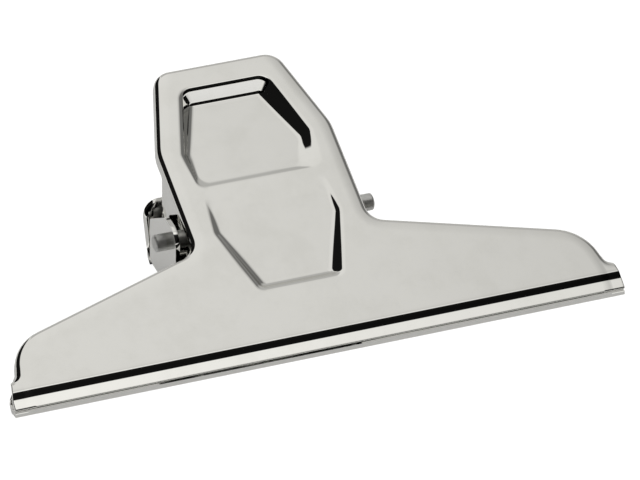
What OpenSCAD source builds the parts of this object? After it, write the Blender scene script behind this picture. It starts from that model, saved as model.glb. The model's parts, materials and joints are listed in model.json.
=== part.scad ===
// Wide spring clip for holding a stack of sheets.
// Two stamped sheet-steel plates turn on one pin, and two torsion springs close the jaws.
// X runs along the jaws, Y from the jaws to the handle, Z up. The back plate lies on Z = 0
// and the pin stands over the origin.

/* [Jaws] */
// Width of each plate just behind the jaw lips
jaw_w = 142; // [136:0.2:144]
// How much farther the lips reach at each end
lip_flare = 1.5; // [0.8:0.1:2]
// Clear gap between the two lips when the clip is closed
jaw_gap = 0.06; // [0.02:0.01:0.3]

/* [Sheet] */
// Thickness of the sheet in both plates
sheet = 1; // [0.8:0.05:1.1]
// Outside radius of the bend all round each plate
edge_r = 1.4; // [1.2:0.1:1.8]
// Depth of the stiffening flange round each plate, with the sheet
flange = 3; // [2.4:0.1:3.4]

/* [Front plate] */
// Slope of the front plate up from the jaws to the handle
slope = 22.9; // [21:0.1:24]
// Length of the front plate from the jaw line to the end of the handle
plate_l = 78; // [75:0.5:82]
// Width of the handle beside the hinge
handle_w = 42.4; // [41.5:0.1:43]
// Width of the handle at its end, between the corners
handle_end_w = 29.6; // [28:0.2:32]
// Depth of the thumb recess at its far end
thumb_depth = 3.4; // [2.5:0.1:4]
// Depth of the lower recess at its jaw end
panel_depth = 1.7; // [1.2:0.1:2.2]

/* [Back plate] */
// Width of the back plate over its two ears, which stand 2.2 mm off the middle to the left
ears_w = 43.6; // [43.2:0.1:44]
// Height of the ears
ear_h = 19.1; // [18.2:0.1:20]
// Height of the turned-up finger rest at the rear
rest_h = 13.5; // [12:0.1:14]
// Lean of the finger rest away from the jaws
rest_lean = 19; // [16:1:24]

/* [Hinge] */
// Diameter of the hinge pin
pin_d = 4; // [3.6:0.1:4.2]
// Length of the hinge pin
pin_l = 53.4; // [52:0.1:55]
// Radial clearance of the pin in the front plate's ears
pin_clearance = 0.05; // [0.03:0.01:0.09]
// Distance of the pin from the jaw line, along the front plate
pin_along = 38.3; // [37.5:0.1:39.5]
// Distance of the pin below the front plate's outer face
pin_below = 9.2; // [9:0.1:9.6]

/* [Springs] */
// Diameter of the spring wire
wire_d = 2; // [1.6:0.1:2]
// Mean diameter of the coils
coil_d = 8; // [7:0.1:8.2]
// Whole turns in each coil, besides the part turn between its legs
coil_turns = 4; // [3:1:4]

/* [Hidden] */
$fn = 64;

arc_steps = 5;       // Straight pieces in each rounded corner of an outline
bend_steps = 3;      // Straight pieces in the bend round a plate
wire_sides = 10;     // Sides of the spring wire
coil_steps = 24;     // Straight pieces in a turn of the coil
touch = 0.05;        // Gap left where a spring leg bears on a plate
far = 200;           // Longer than any part, for cutting blocks

pin_r = pin_d / 2;
wire_r = wire_d / 2;
coil_r = coil_d / 2;

// The jaw lip in section: a short wall steps inwards, then the lip runs on to the tip
lip_start = 1.65;    // Where the wall starts, ahead of the jaw line
wall_l = 1.6;
wall_angle = 39;
lip_l = 2.6;
lip_angle = 13.5;
join = 5;            // Where the lip's strip of sheet takes over from the pan
wall_end = [lip_start - wall_l * cos(wall_angle), -wall_l * sin(wall_angle)];
lip_tip = wall_end - lip_l * [cos(lip_angle), sin(lip_angle)];
lip_inner_tip = lip_tip - sheet * [-sin(lip_angle), cos(lip_angle)];

// Both plates share these shoulders, given as right-hand corners [x, y, radius]
shoulder_fall = 0.3;
end_lean = 2.5;
end_corner = [jaw_w / 2 - end_lean, 14.4, 11];
function end_x(y) = jaw_w / 2 - end_lean * y / end_corner[1];
function shoulder_y(x) = end_corner[1] + (end_corner[0] - x) * shoulder_fall;
function waist(x) = [x, shoulder_y(x), 4.3];
function waist_end(x) = shoulder_y(x) + 3.3;

front_half = [
    [jaw_w / 2, 0, 0.3],
    end_corner,
    waist(handle_w / 2),
    [handle_w / 2, plate_l - 21.8, 12],
    [handle_end_w / 2, plate_l, 4.7]
];
// The back plate's left ear passes outside the front plate's ear, and its right ear inside
ear_off = 2.2;
left_ear_x = ears_w / 2 + ear_off;
right_ear_x = ears_w / 2 - ear_off;
function back_half(x) = [[jaw_w / 2, 0, 0.3], end_corner, waist(x), [x, 60, 1.5]];

// The recesses, as right-hand corners of their rims and of their floors
thumb_rim = [[14.6, 44.8, 2.5], [15.3, 54.6, 3], [10.2, 70.9, 3]];
thumb_floor = [[14.1, 45.4, 2.3], [14.1, 54.8, 3], [8.3, 68.5, 1.2]];
thumb_shallow = 0.5;
panel_rim = [[9.6, 15.3, 2], [15, 32.2, 3.5], [14.2, 41.4, 2]];
panel_floor = [[8.3, 17.2, 1.2], [14.05, 32.4, 3], [13.8, 41, 1.8]];
panel_shallow = 0.3;

// Where the pieces stand. The inner corners of the two lips meet, jaw_gap apart.
front_origin = -turned([pin_along, -pin_below], slope);
front_lip_y = front_origin[0] + turned(lip_tip, slope)[0];
back_y = front_lip_y - lip_tip[0];
front_lip_drop = -(front_origin[1] + turned(lip_inner_tip, slope)[1]);
pin_h = front_lip_drop + jaw_gap - lip_inner_tip[1];

// Ears of the front plate, in its own frame, round the pin
ear_low = -14.4;
front_ear = [
    [waist_end(handle_w / 2), -edge_r, 0], [waist_end(handle_w / 2) + 0.4, ear_low, 4.8],
    [46.4, ear_low, 4.8], [51.9, -edge_r, 0]
];
// Ears of the back plate, in Y and Z
ear_rear = 9.8;
function ear_front(x) = back_y + waist_end(x) - 1.2;
function back_ear(x) = [
    [ear_front(x), edge_r, 0], [ear_rear, edge_r, 0], [ear_rear, ear_h - 6.7, 1.2],
    [-0.6, ear_h, 4], [ear_front(x), ear_h, 4]
];
rest_bend = [ear_rear + 1.6, 0, 2.2];
rest_end = [rest_bend[0] + rest_h * tan(rest_lean), rest_h, 0];

function xy(p) = [p[0], p[1]];
function unit(v) = v / norm(v);
function left_of(d) = [-d[1], d[0]];
function turned(p, a) = [p[0] * cos(a) - p[1] * sin(a), p[0] * sin(a) + p[1] * cos(a)];
function on_polar(r, a) = r * [cos(a), sin(a)];

// Right-hand corners, then left-hand ones given as if on the right, counter-clockwise
function sides(right, left) =
    concat(right, [for (i = [len(left) - 1:-1:0]) [-left[i][0], left[i][1], left[i][2]]]);
function both_sides(half) = sides(half, half);

// The corner at b, between a and c, after both its edges move left by d
function moved_corner(a, b, c, d) =
    let (n = left_of(unit(xy(b) - xy(a))), m = left_of(unit(xy(c) - xy(b))))
    xy(b) + d * (n + m) / (1 + n * m);

// Points of an arc of radius r that rounds the corner p between directions u and w
function corner_arc(p, u, w, r) =
    let (bend = atan2(cross(u, w), u * w), side = sign(bend),
         centre = p - u * r * tan(abs(bend) / 2) + side * r * left_of(u))
    [for (i = [0:arc_steps]) centre - side * r * turned(left_of(u), bend * i / arc_steps)];

// A closed outline through corners [x, y, radius], moved inwards by d
function outline(corners, d = 0) =
    let (n = len(corners))
    [for (i = [0:n - 1])
        let (a = corners[(i + n - 1) % n], b = corners[i], c = corners[(i + 1) % n],
             u = unit(xy(b) - xy(a)), w = unit(xy(c) - xy(b)),
             r = b[2] - d * sign(cross(u, w)),
             p = moved_corner(a, b, c, d))
        each b[2] == 0 ? [p] : corner_arc(p, u, w, max(r, 0.05))];

// A strip of sheet in section: the path, then back along its left-hand side
function strip(path) =
    let (n = len(path),
         back = [for (i = [n - 1:-1:0])
            let (a = path[max(i - 1, 0)], b = path[i], c = path[min(i + 1, n - 1)],
                 ahead = i == 0 ? unit(xy(c) - xy(b)) : unit(xy(b) - xy(a)),
                 after = i == n - 1 ? ahead : unit(xy(c) - xy(b)),
                 side = sign(cross(ahead, after)),
                 p = xy(b) + sheet * (left_of(ahead) + left_of(after)) / (1 + ahead * after))
            [p[0], p[1], b[2] == 0 ? 0 : b[2] - side * sheet]])
    outline(concat(path, back));

// A solid through rings of points with the same even count, each seen counter-clockwise from the
// next. The end faces are laid in strips between the points that mirror each other.
module loft(rings) {
    n = len(rings[0]);
    last = (len(rings) - 1) * n;
    walls = [for (k = [0:n:last - n]) for (i = [0:n - 1])
        let (j = (i + 1) % n) [k + i, k + n + i, k + n + j, k + j]];
    start_face = [for (i = [0:n / 2 - 2]) [i, i + 1, n - 2 - i, n - 1 - i]];
    end_face = [for (i = [0:n / 2 - 2]) [n - 1 - i, n - 2 - i, i + 1, i] + last * [1, 1, 1, 1]];
    polyhedron([for (ring = rings) each ring], concat(walls, start_face, end_face));
}

function ring_at(corners, d, z) = [for (p = outline(corners, d)) [p[0], p[1], z]];

// A shallow tray, open downwards, with a rounded bend along its edge
module pan(corners) {
    difference() {
        loft([
            ring_at(corners, 0, -flange),
            for (i = [0:bend_steps])
                let (a = 90 * i / bend_steps)
                ring_at(corners, edge_r * (1 - cos(a)), edge_r * (sin(a) - 1))
        ]);
        translate([0, 0, -far])
            linear_extrude(far - sheet) polygon(outline(corners, sheet));
    }
}

// Extrudes a section drawn in Y and Z along X
module along_x(length) {
    rotate([90, 0, 90]) linear_extrude(length, center = true) children();
}

// The lip's strip of sheet, with ends that flare outwards towards the tip
module lip() {
    flare_x = jaw_w / 2 + lip_flare;
    flared = [
        [flare_x, lip_tip[0] - 1, 0], [flare_x, 0, 2],
        [end_x(join - 0.6), join - 0.6, 2], [end_x(join + 1) - edge_r / 2, join + 1, 0]
    ];
    intersection() {
        along_x(far) polygon(strip([
            [join + 1, 0, 0], [lip_start, 0, 1.6], [wall_end[0], wall_end[1], 1], [lip_tip[0], lip_tip[1], 0]
        ]));
        linear_extrude(far, center = true) polygon(outline(both_sides(flared)));
    }
}

// A plate with its flange and jaw lip, from the jaw to the cut-off line
module jaw_plate(corners) {
    difference() {
        pan(corners);
        translate([-far / 2, join - far, -far / 2]) cube(far);
    }
    lip();
}

// The space of a recess: from its rim down to a sloping floor. With a skin, the space is larger all
// round by that much and starts half way down the sheet.
module recess(rim, floor_half, low_depth, high_depth, skin) {
    low_y = floor_half[0][1];
    high_y = floor_half[len(floor_half) - 1][1];
    tilt = atan((high_depth - low_depth) / (high_y - low_y));
    slice = 0.01;
    above = skin > 0 ? -sheet / 2 : 0.5;
    hull() {
        translate([0, 0, min(above, 0) - slice])
            linear_extrude(slice + max(above, 0)) polygon(outline(both_sides(rim), -skin));
        translate([0, low_y, -low_depth - skin])
            rotate([-tilt, 0, 0])
                translate([0, -low_y, 0])
                    linear_extrude(slice) polygon(outline(both_sides(floor_half), -skin));
    }
}

module recesses(skin) {
    recess(thumb_rim, thumb_floor, thumb_shallow, thumb_depth, skin);
    recess(panel_rim, panel_floor, panel_depth, panel_shallow, skin);
}

module hinge_bore(r) {
    rotate([0, 90, 0]) cylinder(h = far, r = r, center = true);
}

module front_plate() {
    color("gainsboro")
        translate([0, front_origin[0], pin_h + front_origin[1]]) rotate([slope, 0, 0])
            difference() {
                union() {
                    jaw_plate(both_sides(front_half));
                    recesses(0.8 * sheet);
                    for (x = [-1, 1] * (handle_w - sheet) / 2)
                        translate([x, 0, 0]) along_x(sheet) polygon(outline(front_ear));
                }
                recesses(0);
                translate([0, pin_along, -pin_below]) hinge_bore(pin_r + pin_clearance);
            }
}

// The finger rest: the rear of the floor turned up and leaning back
module finger_rest() {
    function half(x) = [[x, -far, 0], [x, rest_h, 4]];
    intersection() {
        along_x(far) polygon(strip([[0, 0, 0], rest_bend, rest_end]));
        rotate([90, 0, 0])
            linear_extrude(far, center = true) polygon(outline(sides(half(right_ear_x), half(left_ear_x))));
    }
}

// One ear of the back plate, with its outer face at that distance to the right
module ear(x) {
    translate([x - sheet / 2, 0, 0]) along_x(sheet) polygon(outline(back_ear(x)));
}

module back_plate() {
    color("silver") {
        difference() {
            union() {
                difference() {
                    translate([0, back_y, 0])
                        mirror([0, 0, 1]) jaw_plate(sides(back_half(right_ear_x), back_half(left_ear_x)));
                    translate([-far / 2, ear_rear, -far / 2]) cube(far);
                }
                finger_rest();
                ear(right_ear_x);
                mirror([1, 0, 0]) ear(left_ear_x);
            }
            translate([0, 0, pin_h]) hinge_bore(pin_r);
        }
    }
}

module hinge_pin() {
    chamfer = 0.5;
    half = pin_l / 2;
    color("lightgray")
        translate([0, 0, pin_h]) rotate([0, 90, 0])
            rotate_extrude() polygon([
                [0, -half], [pin_r - chamfer, -half], [pin_r, chamfer - half],
                [pin_r, half - chamfer], [pin_r - chamfer, half], [0, half]
            ]);
}

// One round wire swept along a path that stays nearly square to X
module wire(path) {
    n = len(path);
    loft([for (i = [0:n - 1])
        let (t = unit(path[min(i + 1, n - 1)] - path[max(i - 1, 0)]),
             s = unit(cross([1, 0, 0], t)), u = cross(t, s))
        [for (k = [0:wire_sides - 1]) path[i] + wire_r * (cos(360 * k / wire_sides) * s
            + sin(360 * k / wire_sides) * u)]]);
}

// A torsion spring on the right: one leg under the front plate, one on the back plate's floor
module torsion_spring() {
    pitch = wire_d + 0.15;
    outer_x = 17.2;
    front_leg = turned([15, pin_below - sheet - wire_r - touch], slope);
    back_leg = [8, sheet + wire_r + touch - pin_h];
    start_a = atan2(front_leg[1], front_leg[0]) + acos(coil_r / norm(front_leg));
    end_a = 360 + atan2(back_leg[1], back_leg[0]) - acos(coil_r / norm(back_leg));
    sweep_a = 360 * coil_turns + end_a - start_a;
    steps = ceil(sweep_a * coil_steps / 360);
    coil = [for (i = [0:steps])
        let (a = start_a + sweep_a * i / steps, p = on_polar(coil_r, a))
        [outer_x - pitch * (sweep_a * i / steps) / 360, p[0], p[1]]];
    inner_x = coil[steps][0];
    translate([0, 0, pin_h]) wire(concat(
        [[outer_x, front_leg[0], front_leg[1]]], coil, [[inner_x, back_leg[0], back_leg[1]]]));
}

module right_spring() {
    color("darkgray") torsion_spring();
}

module left_spring() {
    color("darkgray") mirror([1, 0, 0]) torsion_spring();
}

front_plate();
back_plate();
hinge_pin();
left_spring();
right_spring();
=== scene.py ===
"""Looks of a wide sprung letter clip: two plated sheet plates, a hinge pin and two torsion springs.

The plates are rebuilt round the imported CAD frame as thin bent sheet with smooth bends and
recesses. The shape functions work in millimetres, and the pieces are made in metres.
"""

import json
from math import acos, atan2, ceil, cos, pi, radians, sin, tan

import bmesh
import bpy
import numpy as np
from mathutils import Matrix, Vector
from mathutils.geometry import delaunay_2d_cdt


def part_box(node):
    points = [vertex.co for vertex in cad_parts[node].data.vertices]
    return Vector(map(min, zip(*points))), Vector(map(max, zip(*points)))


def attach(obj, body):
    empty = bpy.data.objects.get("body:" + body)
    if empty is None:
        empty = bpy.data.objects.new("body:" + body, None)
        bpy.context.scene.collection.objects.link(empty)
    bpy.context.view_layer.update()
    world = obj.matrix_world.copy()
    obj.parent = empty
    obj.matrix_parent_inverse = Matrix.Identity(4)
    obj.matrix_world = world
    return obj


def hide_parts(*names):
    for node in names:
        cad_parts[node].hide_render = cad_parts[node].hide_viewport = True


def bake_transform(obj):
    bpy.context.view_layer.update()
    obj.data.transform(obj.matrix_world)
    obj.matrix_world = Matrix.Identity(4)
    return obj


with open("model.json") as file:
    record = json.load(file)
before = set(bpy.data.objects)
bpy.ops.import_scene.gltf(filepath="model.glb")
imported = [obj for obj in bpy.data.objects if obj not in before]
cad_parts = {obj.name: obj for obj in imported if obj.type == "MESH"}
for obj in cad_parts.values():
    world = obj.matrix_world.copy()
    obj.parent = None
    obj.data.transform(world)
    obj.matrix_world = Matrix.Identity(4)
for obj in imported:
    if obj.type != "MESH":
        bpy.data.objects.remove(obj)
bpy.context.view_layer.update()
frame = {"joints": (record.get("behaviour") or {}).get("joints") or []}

MM = 0.001


# ---------------------------------------------------------------- sizes, in millimetres

def box_mm(node):
    """Lowest and highest corner of a CAD node."""
    low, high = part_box(node)
    return np.array(low) / MM, np.array(high) / MM


FRONT_LOW, FRONT_HIGH = box_mm("front_plate")
BACK_LOW, BACK_HIGH = box_mm("back_plate")
PIN_LOW, PIN_HIGH = box_mm("hinge_pin")
SPRING_LOW, SPRING_HIGH = box_mm("right_spring")
PIN_H = frame["joints"][0]["pos_m"][2] / MM

SHEET = 1.0
EDGE_R = 1.4                    # outside radius of the bend all round a plate
FLANGE = 3.0                    # depth of the flange, from the outer face
SUPPORT = 0.25                  # width of the narrow flat strip beside each bend
ROLL, ROLL_DROP = 2.2, 0.09     # the front plate's face falls away a little towards its edge
SLOPE = radians(22.9)           # of the front plate
LIP_FLARE = 1.5
JAW_W = FRONT_HIGH[0] - FRONT_LOW[0] - 2 * LIP_FLARE
END_LEAN = 2.5                  # how far each end leans in, up to its corner
END_Y = 14.4
END_R = 11.0
SHOULDER_FALL = 0.30
JOIN = 7.4                      # from here to the jaw, the end flange opens out into the lip
HANDLE_L, HANDLE_W, HANDLE_END_W = 78.0, 42.4, 29.6
HANDLE_TAPER = 21.8             # length of the stretch that narrows to the handle's end
LEFT_EAR_X, RIGHT_EAR_X = 24.0, 19.6        # the back plate's left ear passes outside, its right inside
EAR_REAR = 9.8
REST_GAP = 0.5                  # slit between an ear and the finger rest
REST_H, REST_LEAN = 13.5, radians(19)
REST_BEND_R = 2.2
REST_CORNER_R = 4.0
REST_EDGE_R, REST_EDGE_TURN = 1.3, radians(75)      # the bend along the edge of the finger rest
REST_EDGE_W = REST_EDGE_R * sin(REST_EDGE_TURN)
PIN_ALONG, PIN_BELOW = 38.3, 9.2
PIN_R = (PIN_HIGH[2] - PIN_LOW[2]) / 2
PRESS_GAP, TURN_GAP = 0.02, 0.05            # round the pin, in the back plate's ears and the front's
WIRE_R, COIL_R, COIL_TURNS = 1.0, 4.0, 4

# The jaw in section, from the plate's face: a short wall steps inwards, and the lip runs on from it
LIP_START = 1.65
WALL = 1.6 * np.array([-cos(radians(39)), -sin(radians(39))])
LIP = 2.6 * np.array([-cos(radians(13.5)), -sin(radians(13.5))])
WALL_END = np.array([LIP_START, 0]) + WALL
LIP_TIP = WALL_END + LIP

BACK_Y = BACK_LOW[1] - LIP_TIP[0]


# ---------------------------------------------------------------- plane geometry

def unit(v):
    return v / np.linalg.norm(v)


def left_of(d):
    return np.array([-d[1], d[0]])


def turned(v, a):
    return np.array([v[0] * cos(a) - v[1] * sin(a), v[0] * sin(a) + v[1] * cos(a)])


def smooth(t):
    t = min(max(t, 0.0), 1.0)
    return t * t * (3 - 2 * t)


def round_corner(before, corner, after, steps=None):
    """(point, left-hand normal) pairs round a corner (x, y, radius)."""
    p = np.array(corner[:2], float)
    u = unit(p - np.array(before[:2], float))
    w = unit(np.array(after[:2], float) - p)
    bend = atan2(u[0] * w[1] - u[1] * w[0], u @ w)
    radius = corner[2]
    if radius == 0:
        return [(p, unit(left_of(u) + left_of(w)))]
    side = 1 if bend > 0 else -1
    centre = p - u * radius * tan(abs(bend) / 2) + side * radius * left_of(u)
    steps = steps or max(3, ceil(abs(bend) / radians(6)))
    normals = [turned(left_of(u), bend * k / steps) for k in range(steps + 1)]
    return [(centre - side * radius * n, n) for n in normals]


def open_path(corners, span=8.0, parts=None, steps=None):
    """(point, left-hand normal) pairs along corners (x, y, radius). Each straight stretch has parts
    of at most the span, or the given number of them."""
    ends = [np.array(corners[i][:2], float) for i in (0, 1, -2, -1)]
    groups = [[(ends[0], left_of(unit(ends[1] - ends[0])))]]
    for i in range(1, len(corners) - 1):
        groups.append(round_corner(corners[i - 1], corners[i], corners[i + 1], steps))
    groups.append([(ends[3], left_of(unit(ends[3] - ends[2])))])
    path = list(groups[0])
    for group in groups[1:]:
        a, b = path[-1][0], group[0][0]
        cuts = parts or ceil(np.linalg.norm(b - a) / span)
        normal = left_of(unit(b - a))
        path += [(a + (b - a) * k / cuts, normal) for k in range(1, cuts)]
        path += group
    return path


def circle(centre, radius, steps=48):
    return [centre + radius * np.array([cos(a), sin(a)]) for a in np.arange(steps) * 2 * pi / steps]


# ---------------------------------------------------------------- thin sheet

class Sheet:
    """The right-hand half of a bent sheet. Each of its points is a pair, one on each face of it."""

    def __init__(self, rolled=False):
        self.rolled = rolled
        self.outer = []
        self.inner = []
        self.faces = []
        self.satin = set()

    def add(self, outer, inner):
        self.outer.append(tuple(outer))
        self.inner.append(tuple(inner))
        return len(self.outer) - 1

    def quads(self, row, next_row):
        for i in range(min(len(row), len(next_row)) - 1):
            self.faces.append((row[i], row[i + 1], next_row[i + 1], next_row[i]))

    def fill(self, loop, hole=(), axes=(0, 1)):
        """Covers a flat region inside a loop of points, leaving the hole. Axes are its plane's."""
        index = [*loop, *hole]
        place = [Vector([self.outer[i][axis] for axis in axes]) for i in index]
        edges = [(k, (k + 1) % len(loop)) for k in range(len(loop))]
        edges += [(len(loop) + k, len(loop) + (k + 1) % len(hole)) for k in range(len(hole))]
        points, _, triangles, origin, _, _ = delaunay_2d_cdt(place, edges, [], 1, 1e-7)
        outline = place[len(loop):]
        for triangle in triangles:
            middle = sum((points[k] for k in triangle), Vector((0, 0))) / 3
            if not is_inside(middle, outline):
                self.faces.append(tuple(index[origin[k][0]] for k in triangle))

    def piece(self, name, place, left=None):
        """This half and the left one as a closed solid. Where no left half is given, it's the same as
        this one. place takes millimetres to metres in the row frame."""
        left = left or self
        middle = {on_seam(p): i for i, p in enumerate(self.outer) if abs(p[0]) < 1e-6}
        outer, inner = list(self.outer), list(self.inner)
        index = []
        for p, under in zip(left.outer, left.inner):
            seam = abs(p[0]) < 1e-6
            index.append(middle[on_seam(p)] if seam else len(outer))
            if not seam:
                outer.append((-p[0], *p[1:]))
                inner.append((-under[0], *under[1:]))
        faces = self.faces + [tuple(index[i] for i in reversed(face)) for face in left.faces]
        count = len(outer)
        edges = {}
        for face in faces:
            for a, b in zip(face, face[1:] + face[:1]):
                key = frozenset((a, b))
                edges[key] = None if key in edges else (a, b)
        back = [tuple(i + count for i in reversed(face)) for face in faces]
        sides = [(e[1], e[0], e[0] + count, e[1] + count) for e in edges.values() if e]
        mesh = bpy.data.meshes.new(name)
        mesh.from_pydata([place @ Vector(p) for p in outer + inner], [], faces + back + sides)
        satin = {*self.satin, *(index[i] for i in left.satin)}
        mask = mesh.attributes.new("satin", "FLOAT", "POINT")
        mask.data.foreach_set("value", [float(i % count in satin) for i in range(2 * count)])
        return finished(mesh, name)


def on_seam(p):
    """Names a point on the middle line, so that the two halves can share it."""
    return round(float(p[1]), 5), round(float(p[2]), 5)


def is_inside(p, outline):
    """Whether a point is inside a closed outline, by counting crossings."""
    inside = False
    for a, b in zip(outline, outline[1:] + outline[:1]):
        if (a.y > p.y) != (b.y > p.y) and p.x < a.x + (b.x - a.x) * (p.y - a.y) / (b.y - a.y):
            inside = not inside
    return inside


def finished(mesh, name):
    """An object for a mesh, smooth-shaded, with its faces turned outwards."""
    work = bmesh.new()
    work.from_mesh(mesh)
    bmesh.ops.recalc_face_normals(work, faces=work.faces)
    work.to_mesh(mesh)
    work.free()
    mesh.shade_smooth()
    piece = bpy.data.objects.new(name, mesh)
    bpy.context.scene.collection.objects.link(piece)
    return piece


def soften_cut_edges(piece, width):
    """Rounds the sheared edges of a sheet, and keeps its flats flat in reflections."""
    bevel = piece.modifiers.new("cut_edges", "BEVEL")
    bevel.width = width * MM
    bevel.segments = 3
    bevel.limit_method = "ANGLE"
    bevel.angle_limit = radians(50)
    normals = piece.modifiers.new("even_normals", "WEIGHTED_NORMAL")
    normals.weight = 80


# ---------------------------------------------------------------- stamped plates

# In a plate's own frame X runs along the jaws, Y from the jaws to the handle, and the outer face is
# Z = 0, with the flange below it.
BEND_STEPS, ROLL_STEPS = 10, 4
ARC_L = EDGE_R * pi / 2
FLAT_L = FLANGE - EDGE_R
SUPPORT_ROW = ROLL_STEPS + BEND_STEPS + 1   # the narrow strip below the bend, in edge_section()
REST_EDGE_SHARES = np.linspace(0, 1, 6)     # steps across the bent edge of the finger rest


def edge_section(opening=0.0, rolled=True, deeper=0.0):
    """The flange in section, from the plate's flat: (outwards, up) on both faces of the sheet. It is
    bent square where opening is 0, and lies flat where opening is 1."""
    bend = max((1 - opening) * pi / 2, 0.001)
    radius = ARC_L / bend
    straight = FLAT_L + deeper + opening * (EDGE_R + LIP_FLARE - ARC_L - FLAT_L)
    roll, drop = (ROLL, ROLL_DROP) if rolled else (SUPPORT, 0.0)
    section = []
    for t in np.arange(ROLL_STEPS) / ROLL_STEPS:
        outer = np.array([-roll * (1 - t), -drop * t * t])
        section.append((outer, outer - (0, SHEET)))
    for k in range(BEND_STEPS + 1):
        a = bend * k / BEND_STEPS
        outer = np.array([radius * sin(a), radius * (cos(a) - 1) - drop])
        section.append((outer, outer - SHEET * np.array([sin(a), cos(a)])))
    along = np.array([cos(bend), -sin(bend)])
    outer, inner = section[-1]
    section.append((outer + SUPPORT * along, inner + SUPPORT * along))
    section.append((outer + straight * along, inner + straight * along))
    return section


def end_x(y):
    return JAW_W / 2 - END_LEAN * max(y, 0) / END_Y


def shoulder_half(waist_x, waist_r):
    """Right-hand corners of the end and the shoulder, up to the waist."""
    corner_x = end_x(END_Y)
    waist_y = END_Y + (corner_x - waist_x) * SHOULDER_FALL
    return [(end_x(JOIN), JOIN, 0), (corner_x, END_Y, END_R), (waist_x, waist_y, waist_r)]


def flanged_edge(sheet, half, ear_x, ear_from, ear_to, gusset=0.0):
    """Bends a flange down along a half outline. It deepens by the gusset through the waist, and beside
    the ear its lower part is left for ear(). Returns the columns of points, and those of the ear."""
    columns, ear_columns = [], []
    for p, inward in open_path(half, span=4):
        along_ear = abs(p[0] - ear_x) < 0.001 and ear_from - 0.001 < p[1] < ear_to + 0.001
        near_ear = smooth((p[1] - ear_from + 5) / 5) if p[1] < ear_from + 0.001 else 0
        section = edge_section(rolled=sheet.rolled, deeper=gusset * near_ear)
        if along_ear and ear_from + 0.001 < p[1] < ear_to - 0.001:
            section = section[:-1]
        column = []
        for outer, inner in section:
            o = p + (EDGE_R - outer[0]) * inward
            i = p + (EDGE_R - inner[0]) * inward
            column.append(sheet.add((*o, outer[1]), (*i, inner[1])))
        columns.append(column)
        if along_ear:
            ear_columns.append(column)
    for column, next_column in zip(columns, columns[1:]):
        sheet.quads(column, next_column)
    return columns, ear_columns


def ear(sheet, columns, x, outline, bore):
    """An ear in the plane x, below its flange columns. The outline (y, z) starts at the last column and
    ends at the first."""
    support = [column[SUPPORT_ROW] for column in columns]
    last = columns[-1][SUPPORT_ROW + 1:]
    first = columns[0][SUPPORT_ROW + 1:]
    edge = [sheet.add((x, *p), (x - SHEET, *p)) for p in outline]
    hole = [sheet.add((x, *p), (x - SHEET, *p)) for p in bore]
    sheet.fill([*support, *last, *edge, *first], hole, axes=(1, 2))


def jaw(sheet, column):
    """Runs the sheet on from the flanged end column to the tip of the lip. Returns the points at the
    join, from the middle outwards."""
    parts = 14
    opens_from, opens_to = 0.6, 4.0
    fall = 0.2 if sheet.rolled else 0
    section = [
        (JOIN, 0, 0), (LIP_START + ROLL, 0, 28 if fall else 0), (LIP_START, -fall, 1.6),
        (*WALL_END, 1.0), (*LIP_TIP, 0)
    ]
    support_x = sheet.outer[column[0]][0]
    middle = [
        sheet.add((x, JOIN, 0), (x, JOIN, -SHEET))
        for x in np.linspace(0, support_x, parts + 1)[:-1]
    ]
    rows = [middle + column]
    travelled, before = 0.0, np.array([JOIN, 0.0])
    skewed = 3                  # the first rows make room for the end column, which leans with the end
    for p, inward in open_path(section, span=0.6)[skewed:]:
        travelled += np.linalg.norm(p - before)
        before = p
        under = p + SHEET * inward
        flat_x = end_x(p[0]) - EDGE_R
        opening = smooth((travelled - opens_from) / (opens_to - opens_from))
        ending = edge_section(opening, sheet.rolled)
        row = [
            sheet.add((x, *p), (x, *under))
            for x in np.linspace(0, flat_x + ending[0][0][0], parts + 1)[:-1]
        ]
        for outer, inner in ending:
            o = p - outer[1] * inward
            i = p - inner[1] * inward
            row.append(sheet.add((flat_x + outer[0], *o), (flat_x + inner[0], *i)))
        rows.append(row)
    for row, next_row in zip(rows, rows[1:]):
        sheet.quads(row, next_row)
    return middle


def bezier(a, b, c, steps=7):
    """Points along a curve that leaves a towards b and reaches c from b."""
    return [
        (1 - t) ** 2 * a + 2 * t * (1 - t) * b + t * t * c
        for t in np.linspace(0, 1, steps + 1)
    ]


def recess(sheet, rim_half, floor_half, low_depth, high_depth, soft=0.9):
    """Sinks a recess with a sloping floor into the plate. soft is how far its edges are rounded.
    Returns the points round its rim, from the low end to the high end."""
    low_y, high_y = floor_half[0][1], floor_half[-1][1]

    def depth(p):
        return low_depth + (p[1] - low_y) * (high_depth - low_depth) / (high_y - low_y)

    def outline(half):
        corners = [(0, half[0][1], 0), *half, (0, half[-1][1], 0)]
        return [p for p, _ in open_path(corners, parts=5, steps=9)]

    columns = []
    for r, f in zip(outline(rim_half), outline(floor_half)):
        length = np.linalg.norm(f - r)
        ahead = (f - r) / length
        wall = np.array([length, -depth(f)])
        near = min(soft, 0.48 * np.linalg.norm(wall))
        start, corner = np.array([-near, 0.0]), np.array([0.0, 0.0])
        end, beyond = (
            np.array([t, -depth(r + ahead * t)]) for t in (length + near, length + near + SUPPORT)
        )
        profile = [start - (SUPPORT, 0), *bezier(start, corner, near * unit(wall))]
        profile += [*bezier(wall - near * unit(wall), wall, end), beyond]
        column = []
        for k, (t, z) in enumerate(profile):
            run = unit(profile[min(k + 1, len(profile) - 1)] - profile[max(k - 1, 0)])
            under_t, under_z = t + SHEET * run[1], z - SHEET * run[0]
            column.append(sheet.add((*(r + ahead * t), z), (*(r + ahead * under_t), under_z)))
        columns.append(column)
    for column, next_column in zip(columns, columns[1:]):
        sheet.quads(column, next_column)
    floor = [column[-1] for column in columns]
    sheet.satin.update(floor)
    sheet.fill(floor)
    return [column[0] for column in columns]


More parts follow.
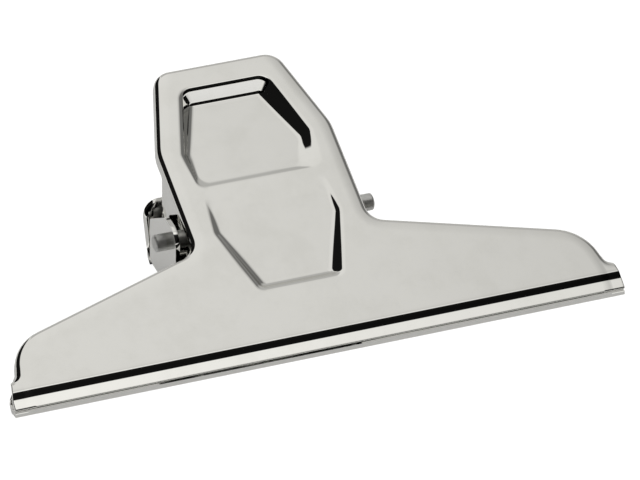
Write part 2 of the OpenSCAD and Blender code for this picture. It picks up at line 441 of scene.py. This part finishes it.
def front_plate():
    """The stamped plate on top. On its right the foot of the thumb recess comes up more gently."""
    left_foot = [(14.0, 45.8, 2.3), (14.0, 54.8, 3)]
    right_foot = [(10.4, 45.8, 2.6), (13.4, 54.2, 3)]
    origin = -turned((PIN_ALONG, -PIN_BELOW), SLOPE) + (0, PIN_H)
    place = Matrix.Scale(MM, 4) @ Matrix.Translation((0, *origin)) @ Matrix.Rotation(SLOPE, 4, "X")
    return front_half(right_foot).piece("front_plate_sheet", place, front_half(left_foot))


def front_half(thumb_foot):
    """Half of the front plate: jaw, handle with two recesses, flange all round and an ear."""
    sheet = Sheet(rolled=True)
    x, gusset = HANDLE_W / 2, 5.0
    ear_from, ear_to = 32.0, 54.2
    half = shoulder_half(x, 4.3) + [
        (x, ear_from, 0), (x, ear_to, 0), (x, HANDLE_L - HANDLE_TAPER, 12),
        (HANDLE_END_W / 2, HANDLE_L, 4.7), (0, HANDLE_L, 0)
    ]
    columns, ear_columns = flanged_edge(sheet, half, x, ear_from, ear_to, gusset)
    low, front, rear, corner_r = -14.4, 32.4, 46.4, 4.8
    rear_top = rear - (low + FLANGE) * tan(SLOPE)
    outline = open_path([
        (ear_to, -FLANGE, 0), (rear_top, -FLANGE, 1.0), (rear, low, corner_r), (front, low, corner_r),
        (ear_from, -FLANGE - gusset, 0)
    ])
    bore = circle(np.array([PIN_ALONG, -PIN_BELOW]), PIN_R + TURN_GAP)
    ear(sheet, ear_columns, x, [p for p, _ in outline[1:-1]], bore)
    join = jaw(sheet, columns[0])
    thumb = recess(
        sheet, rim_half=[(14.6, 44.6, 2.5), (15.3, 54.6, 3), (10.3, 71.6, 3)],
        floor_half=[*thumb_foot, (8.5, 69.3, 1.2)], low_depth=0.42, high_depth=3.4
    )
    panel = recess(
        sheet, rim_half=[(9.6, 15.3, 2), (15, 32.2, 3.5), (14.3, 41.9, 2.2)],
        floor_half=[(8.3, 17.2, 1.2), (14.0, 32.4, 3), (13.6, 39.0, 2)], low_depth=1.7, high_depth=0.1
    )
    sheet.fill([*(column[0] for column in columns), *thumb[::-1], *panel[::-1], *join])
    return sheet


def back_plate():
    """The plate underneath, upside down. Its two halves differ in how far out their ears stand."""
    place = Matrix.Scale(MM, 4) @ Matrix.Translation((0, BACK_Y, 0)) @ Matrix.Scale(-1, 4, (0, 0, 1))
    return back_half(RIGHT_EAR_X).piece("back_plate_sheet", place, back_half(LEFT_EAR_X))


def back_half(x):
    """Half of the back plate: jaw, flange, an ear in the plane x, and the turned-up finger rest."""
    sheet = Sheet()
    top, top_y, chamfer, corner_r, waist_r = -BACK_HIGH[2], -0.6, 6.7, 4, 2.9
    half = shoulder_half(x, waist_r)
    ear_from, ear_to = half[-1][1] + 0.8 * waist_r, EAR_REAR - BACK_Y
    half += [(x, ear_from, 0), (x, ear_to, 0)]
    columns, ear_columns = flanged_edge(sheet, half, x, ear_from, ear_to + 1)
    outline = open_path([
        (ear_to, -EDGE_R - 2 * SUPPORT, 0), (ear_to, top + chamfer, 1.2),
        (top_y - BACK_Y, top, corner_r), (ear_from, top, corner_r), (ear_from, -FLANGE - SUPPORT, 0)
    ])
    bore = circle(np.array([-BACK_Y, -PIN_H]), PIN_R + PRESS_GAP)
    ear(sheet, ear_columns, x, [p for p, _ in outline], bore)
    join = jaw(sheet, columns[0])
    rest = finger_rest(sheet, x, sheet.outer[columns[-1][0]][0])
    sheet.fill([*(column[0] for column in columns), *rest[::-1], *join])
    return sheet


def finger_rest(sheet, x, floor_x):
    """Turns the rear of the back plate up, as far out as x. Returns the points of its base within the
    floor's width."""
    overhang = 0.2
    rear_y = BACK_HIGH[1] - BACK_Y - overhang
    bend_y = rear_y - REST_H * tan(REST_LEAN)
    corners = [(EAR_REAR + REST_GAP - BACK_Y, 0, 0), (bend_y, 0, REST_BEND_R), (rear_y, -REST_H, 0)]
    path = open_path(corners, span=100)[:-1]
    inside = np.linspace(0, floor_x, 8)
    across = [*inside, *(x - REST_EDGE_W + REST_EDGE_W * REST_EDGE_SHARES)]
    rows = [
        [sheet.add((at_x, *p), (at_x, *(p - SHEET * outward))) for at_x in across]
        for p, outward in path
    ]
    for row, next_row in zip(rows, rows[1:]):
        sheet.quads(row, next_row)
    rest_wall(sheet, x, *path[-1], (rear_y, -REST_H), rows[-1][:len(inside)], rows[-1][len(inside):])
    return rows[0][:len(inside)]


def rest_wall(sheet, x, base, outward, top, flat, edge):
    """Runs the finger rest on from the flat and the edge of its base to its top, in (y, z), while the
    edge bends backwards more and more."""
    edge_grows = 2.5            # height over which the edge becomes fully bent
    reach = np.array(top) - base
    height = np.linalg.norm(reach)
    up, back = np.array([0, *(reach / height)]), np.array([0, *outward])
    foot = np.array([0, *(base - SHEET * outward)])
    outline = [(x, 0, 0), (x, height, REST_CORNER_R), (0, height, 0)]
    columns = [edge]
    for (at_x, at_u), inward in open_path(outline, span=2)[1:]:
        bent = smooth(at_u / edge_grows)
        beside = np.array([-inward[0], 0, 0]) - inward[1] * up
        rim = np.array([at_x, 0, 0]) + foot + at_u * up
        column = []
        for share in REST_EDGE_SHARES:
            turn = share * REST_EDGE_TURN
            out = (1 - bent) * REST_EDGE_W * share + bent * REST_EDGE_R * sin(turn) - REST_EDGE_W
            inner = rim + out * beside + bent * REST_EDGE_R * (1 - cos(turn)) * back
            normal = cos(turn * bent) * back - sin(turn * bent) * beside
            column.append(sheet.add(inner + SHEET * normal, inner))
        columns.append(column)
    for column, next_column in zip(columns, columns[1:]):
        sheet.quads(column, next_column)
    sheet.fill([*flat, *(column[0] for column in columns)], axes=(0, 2))


# ---------------------------------------------------------------- round pieces

def tube(name, path, radii, sides, place):
    """A round bar along a path, with its radius at each point, and flat ends. U runs along it."""
    points, faces = [], []
    for i, centre in enumerate(path):
        along = unit(path[min(i + 1, len(path) - 1)] - path[max(i - 1, 0)])
        across = unit(np.cross((1, 0, 0), along)) if abs(along[0]) < 0.9 else np.array([0, 1.0, 0])
        up = np.cross(along, across)
        for k in range(sides):
            a = 2 * pi * k / sides
            points.append(place @ Vector(centre + radii[i] * (cos(a) * across + sin(a) * up)))
    for i in range(len(path) - 1):
        for k in range(sides):
            a, b = i * sides + k, i * sides + (k + 1) % sides
            faces.append((a, b, b + sides, a + sides))
    faces += [tuple(range(sides)), tuple(range(len(points) - 1, len(points) - 1 - sides, -1))]
    mesh = bpy.data.meshes.new(name)
    mesh.from_pydata(points, [], faces)
    travelled = np.cumsum([0] + [np.linalg.norm(b - a) for a, b in zip(path, path[1:])])
    uv = mesh.uv_layers.new(name="along").data
    for loop in mesh.loops:
        i, k = divmod(loop.vertex_index, sides)
        uv[loop.index].uv = (travelled[i] * MM, radii[i] * sin(2 * pi * k / sides) * MM)
    piece = finished(mesh, name)
    mesh.set_sharp_from_angle(angle=radians(40))
    return piece


PIN_PLACE = Matrix.Scale(MM, 4) @ Matrix.Translation((0, 0, PIN_H))


def hinge_pin():
    """The pin: a drawn bar with slightly domed ends."""
    half, dome, steps, middle = PIN_HIGH[0], 0.7, 6, 8
    angles = np.arange(1, steps + 1) * pi / 2 / steps
    profile = [(half - dome * (1 - cos(a)), PIN_R * sin(a)) for a in angles]
    profile += [(half - dome - SUPPORT, PIN_R), (middle, PIN_R)]
    profile += [(-x, r) for x, r in reversed(profile)]
    path = [np.array([x, 0, 0]) for x, _ in profile]
    return tube("hinge_pin_bar", path, [r for _, r in profile], 64, PIN_PLACE)


def spring_path(coil_steps=60):
    """Centre line of the right-hand spring, round the pin: the front leg, the coil, the back leg."""
    pitch, touch = 2 * WIRE_R + 0.15, 0.05
    outer_x = SPRING_HIGH[0] - WIRE_R
    front_leg = turned((15, PIN_BELOW - SHEET - WIRE_R - touch), SLOPE)
    back_leg = np.array([8, SHEET + WIRE_R + touch - PIN_H])
    start = atan2(front_leg[1], front_leg[0]) + acos(COIL_R / np.linalg.norm(front_leg))
    end = 2 * pi + atan2(back_leg[1], back_leg[0]) - acos(COIL_R / np.linalg.norm(back_leg))
    sweep = 2 * pi * COIL_TURNS + end - start
    steps = ceil(sweep / (2 * pi) * coil_steps)
    coil = [
        np.array([
            outer_x - pitch * sweep * t / (2 * pi),
            COIL_R * cos(start + sweep * t), COIL_R * sin(start + sweep * t)
        ])
        for t in np.linspace(0, 1, steps + 1)
    ]
    front = leg(np.array([outer_x, *front_leg]), coil[0])
    back = leg(np.array([coil[-1][0], *back_leg]), coil[-1])
    return front + coil + back[::-1]


def leg(tip, coil_end):
    """Points from the tip of a leg towards the coil."""
    run = unit(coil_end - tip)
    length = np.linalg.norm(coil_end - tip)
    return [tip + run * t for t in (0, 0.25, *np.linspace(1, length - 1, 8))]


def torsion_spring(name, side):
    """One spring, wound from round wire. side is 1 for the right and -1 for the left."""
    path = spring_path()
    radii = [WIRE_R] * len(path)
    radii[0] = radii[-1] = WIRE_R - 0.25
    return tube(name, path, radii, 20, PIN_PLACE @ Matrix.Scale(side, 4, (1, 0, 0)))


# ---------------------------------------------------------------- materials

def node(tree, kind, *values, settings=None, **named):
    """Adds a shader node. Values go to its inputs in order, or by name with _ for a space."""
    made = tree.nodes.new("ShaderNode" + kind)
    for key, value in (settings or {}).items():
        setattr(made, key, value)
    inputs = [*enumerate(values), *((key.replace("_", " "), value) for key, value in named.items())]
    for key, value in inputs:
        if isinstance(value, bpy.types.NodeSocket):
            tree.links.new(value, made.inputs[key])
        elif value is not None:
            made.inputs[key].default_value = value
    return made


def calc(tree, operation, *values):
    return node(tree, "Math", *values, settings={"operation": operation}).outputs[0]


def spread(tree, value, low, high, to_low, to_high):
    """Maps low..high to to_low..to_high, smoothly, and holds outside it."""
    settings = {"interpolation_type": "SMOOTHSTEP"}
    made = node(tree, "MapRange", value, low, high, to_low, to_high, settings=settings)
    return made.outputs[0]


def noise(tree, vector, scale, detail=3.0, roughness=0.5):
    made = node(tree, "TexNoise", Vector=vector, Scale=scale, Detail=detail, Roughness=roughness)
    return made.outputs["Fac"]


def bump(tree, height, distance, normal=None, strength=1.0):
    made = node(tree, "Bump", Strength=strength, Distance=distance, Height=height, Normal=normal)
    return made.outputs["Normal"]


def metal(name, metallic=1.0):
    made = bpy.data.materials.new(name)
    made.use_nodes = True
    surface = made.node_tree.nodes["Principled BSDF"]
    surface.inputs["Metallic"].default_value = metallic
    return made, made.node_tree, surface


def two_tones(tree, surface, share, tone, other_tone):
    """Colours a surface between two tones, by the share of the other one."""
    mixed = node(tree, "MixRGB", share, (*tone, 1), (*other_tone, 1)).outputs[0]
    tree.links.new(mixed, surface.inputs["Base Color"])


def plated_sheet():
    """Bright plating on stamped sheet: a faint wave, orange peel, hairline marks and duller edges."""
    made, tree, surface = metal("plated_sheet")
    place = node(tree, "TexCoord").outputs["Object"]
    wave = noise(tree, place, 45.0, 1.0)
    peel = noise(tree, place, 900.0, 2.0)
    stretched = node(tree, "Mapping", place, Rotation=(0.0, 0.0, 0.6), Scale=(60.0, 4200.0, 900.0))
    hairs = spread(tree, noise(tree, stretched.outputs[0], 1.0, 2.0), 0.66, 0.74, 0.0, 1.0)
    smudge = noise(tree, place, 110.0, 4.0, 0.6)
    satin = node(tree, "Attribute", settings={"attribute_name": "satin"}).outputs["Fac"]
    edge = spread(tree, node(tree, "NewGeometry").outputs["Pointiness"], 0.52, 0.62, 0.0, 1.0)
    rough = spread(tree, smudge, 0.35, 0.75, 0.035, 0.075)
    rough = calc(tree, "ADD", rough, calc(tree, "MULTIPLY", hairs, 0.05))
    rough = calc(tree, "ADD", rough, calc(tree, "MULTIPLY", satin, 0.05))
    rough = calc(tree, "ADD", rough, calc(tree, "MULTIPLY", edge, 0.08))
    tree.links.new(rough, surface.inputs["Roughness"])
    share = spread(tree, smudge, 0.4, 0.7, 0.0, 1.0)
    two_tones(tree, surface, share, (0.835, 0.83, 0.805), (0.805, 0.80, 0.772))
    normal = bump(tree, wave, 0.00006)
    normal = bump(tree, peel, 0.0000006, normal)
    normal = bump(tree, hairs, 0.0000004, normal)
    tree.links.new(normal, surface.inputs["Normal"])
    return made


def plated_pin():
    """Plated drawn bar: fine rings from turning, and duller than the sheet."""
    made, tree, surface = metal("plated_pin", metallic=0.6)
    surface.inputs["Base Color"].default_value = (0.8, 0.8, 0.78, 1)
    place = node(tree, "TexCoord").outputs["Object"]
    rings = node(tree, "Mapping", place, Scale=(6000.0, 120.0, 120.0)).outputs[0]
    turned_lines = noise(tree, rings, 1.0, 3.0)
    rough = spread(tree, noise(tree, place, 300.0, 3.0), 0.35, 0.7, 0.36, 0.46)
    tree.links.new(rough, surface.inputs["Roughness"])
    tree.links.new(bump(tree, turned_lines, 0.000002), surface.inputs["Normal"])
    return made


def spring_wire():
    """Plated spring wire: satin lines along the wire from drawing, darker in patches."""
    made, tree, surface = metal("spring_wire")
    along = node(tree, "UVMap", settings={"uv_map": "along"}).outputs[0]
    drawn = node(tree, "Mapping", along, Scale=(150.0, 9000.0, 1.0)).outputs[0]
    lines = noise(tree, drawn, 1.0, 3.0)
    patches = noise(tree, node(tree, "TexCoord").outputs["Object"], 260.0, 3.0)
    tree.links.new(spread(tree, patches, 0.35, 0.7, 0.2, 0.36), surface.inputs["Roughness"])
    share = spread(tree, lines, 0.3, 0.8, 0.0, 1.0)
    two_tones(tree, surface, share, (0.66, 0.66, 0.65), (0.5, 0.5, 0.5))
    tree.links.new(bump(tree, lines, 0.000006), surface.inputs["Normal"])
    return made


# ---------------------------------------------------------------- studio

def ramp(tree, value, stops):
    """A grey that follows (value, brightness) stops, and holds outside them."""
    low, high = stops[0][0], stops[-1][0]
    made = node(tree, "ValToRGB", node(tree, "MapRange", value, low, high, 0.0, 1.0).outputs[0])
    elements = made.color_ramp.elements
    for _ in range(len(stops) - 2):
        elements.new(0.5)
    for element, (at, grey) in zip(elements, stops):
        element.position = (at - low) / (high - low)
        element.color = (grey, grey, grey, 1)
    return made.outputs["Color"]


def studio():
    """The room as the plating mirrors it. A wide soft box hangs overhead, dark to its left and in
    front, with greyer walls to the right and behind. The camera itself sees plain white."""
    world = bpy.data.worlds.new("studio")
    bpy.context.scene.world = world
    world.use_nodes = True
    tree = world.node_tree
    tree.nodes.clear()
    x, y, z = node(tree, "SeparateXYZ", node(tree, "TexCoord").outputs["Generated"]).outputs
    above = calc(tree, "MAXIMUM", z, 0.001)
    across = ramp(tree, calc(tree, "DIVIDE", x, above), [
        (-1.0, 0.01), (-0.24, 0.01), (-0.17, 1.05), (0.24, 1.04), (0.31, 0.99),
        (0.38, 0.86), (0.55, 0.6), (0.8, 0.22), (3.0, 0.2)
    ])
    fore_aft = ramp(tree, calc(tree, "DIVIDE", y, above), [
        (-2.0, 0.01), (-0.54, 0.01), (-0.42, 0.95), (-0.3, 1.03), (-0.22, 0.97),
        (-0.13, 0.62), (-0.02, 0.77), (0.5, 0.79), (3.0, 0.7)
    ])
    box = node(tree, "MixRGB", 1.0, across, fore_aft, settings={"blend_type": "MULTIPLY"}).outputs[0]
    level = calc(tree, "ADD", calc(tree, "MULTIPLY", y, y), calc(tree, "MULTIPLY", x, x))
    level = calc(tree, "MAXIMUM", calc(tree, "SQRT", level), 0.001)
    behind = spread(tree, calc(tree, "DIVIDE", y, level), 0.5, 0.75, 0.0, 1.0)
    behind = calc(tree, "MULTIPLY", behind, spread(tree, z, 0.84, 0.7, 0.0, 1.0))
    behind = calc(tree, "MULTIPLY", behind, spread(tree, x, -0.05, 0.0, 0.0, 1.0))
    box = node(tree, "MixRGB", behind, box, (0.5, 0.5, 0.5, 1)).outputs[0]
    horizon = spread(tree, z, 0.06, 0.12, 0.9, 0.0)
    seen = node(tree, "MixRGB", 1.0, box, horizon, settings={"blend_type": "LIGHTEN"}).outputs[0]
    warm = (1.0, 0.993, 0.965, 1)
    seen = node(tree, "MixRGB", 1.0, seen, warm, settings={"blend_type": "MULTIPLY"}).outputs[0]
    room = node(tree, "Background", seen, 1.0).outputs[0]
    white = node(tree, "Background", (1, 1, 1, 1), 1.0).outputs[0]
    to_camera = node(tree, "LightPath").outputs["Is Camera Ray"]
    mixed = node(tree, "MixShader", to_camera, room, white).outputs[0]
    node(tree, "OutputWorld", mixed)


def table_top():
    """A pale table that the clip lies on. It glows a little, so that its shadow stays pale and the
    plating mirrors it as pale.
    In the plating it glows with painted light, brighter in front and dimmer near the clip as painted
    shade."""
    mesh = bpy.data.meshes.new("table")
    half = 2.0
    corners = [(-half, -half, 0), (half, -half, 0), (half, half, 0), (-half, half, 0)]
    mesh.from_pydata(corners, [], [(0, 1, 2, 3)])
    table = bpy.data.objects.new("table", mesh)
    bpy.context.scene.collection.objects.link(table)
    made = bpy.data.materials.new("pale_table")
    made.use_nodes = True
    tree = made.node_tree
    tree.nodes.clear()
    plain = node(tree, "BsdfDiffuse", (0.86, 0.86, 0.855, 1)).outputs[0]
    light = node(tree, "LightPath").outputs
    _, y, _ = node(tree, "SeparateXYZ", node(tree, "TexCoord").outputs["Object"]).outputs
    # Painted light seen only in reflections: the table glows brighter in front, and dimmer near and
    # behind the clip as painted shade from the clip.
    painted_light_seen_mirrored = calc(tree, "MULTIPLY", light["Is Glossy Ray"], spread(tree, y, -0.16, -0.05, 0.65, 0.3))
    glow = calc(tree, "ADD", calc(tree, "MULTIPLY", light["Is Camera Ray"], 0.9), painted_light_seen_mirrored)
    glow = node(tree, "Emission", (1, 1, 1, 1), glow).outputs[0]
    both = node(tree, "AddShader", plain, glow).outputs[0]
    node(tree, "OutputMaterial", both)
    mesh.materials.append(made)


def camera():
    """Looks from the front left, from far away, with the clip below and left of the middle."""
    azimuth, elevation, roll = radians(-20.61), radians(33.5), radians(0.575)
    distance, target = 1.2855, Vector((0, -0.01008, 0.01008))
    back = Vector((sin(azimuth) * cos(elevation), -cos(azimuth) * cos(elevation), sin(elevation)))
    level = Vector((cos(azimuth), sin(azimuth), 0))
    up = back.cross(level)
    right = cos(roll) * level + sin(roll) * up
    above = cos(roll) * up - sin(roll) * level
    data = bpy.data.cameras.new("camera")
    data.sensor_width = 36
    data.lens = 319.8
    data.shift_x, data.shift_y = 0.0641, 0.0206
    data.clip_end = 20
    made = bpy.data.objects.new("camera", data)
    facing = Matrix((right, above, back)).transposed().to_4x4()
    made.matrix_world = Matrix.Translation(target + distance * back) @ facing
    bpy.context.scene.collection.objects.link(made)
    bpy.context.scene.camera = made


# ---------------------------------------------------------------- the clip

def dress(piece, node_name, finish):
    """Gives a piece a finish, and hides the CAD node that it stands for."""
    piece.data.materials.append(finish)
    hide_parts(node_name)


sheet_finish, pin_finish, wire_finish = plated_sheet(), plated_pin(), spring_wire()

for plate, body in ((front_plate(), "front"), (back_plate(), "back")):
    soften_cut_edges(plate, 0.16)
    dress(plate, body + "_plate", sheet_finish)
    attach(plate, body)

pin = hinge_pin()
dress(pin, "hinge_pin", pin_finish)
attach(pin, "back")

# The springs are built in place and are attached to neither plate.
for side, word in ((1, "right"), (-1, "left")):
    spring = torsion_spring(word + "_spring_wire", side)
    dress(spring, word + "_spring", wire_finish)
    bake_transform(spring)

studio()
table_top()
camera()
bpy.context.scene.view_settings.view_transform = "Standard"
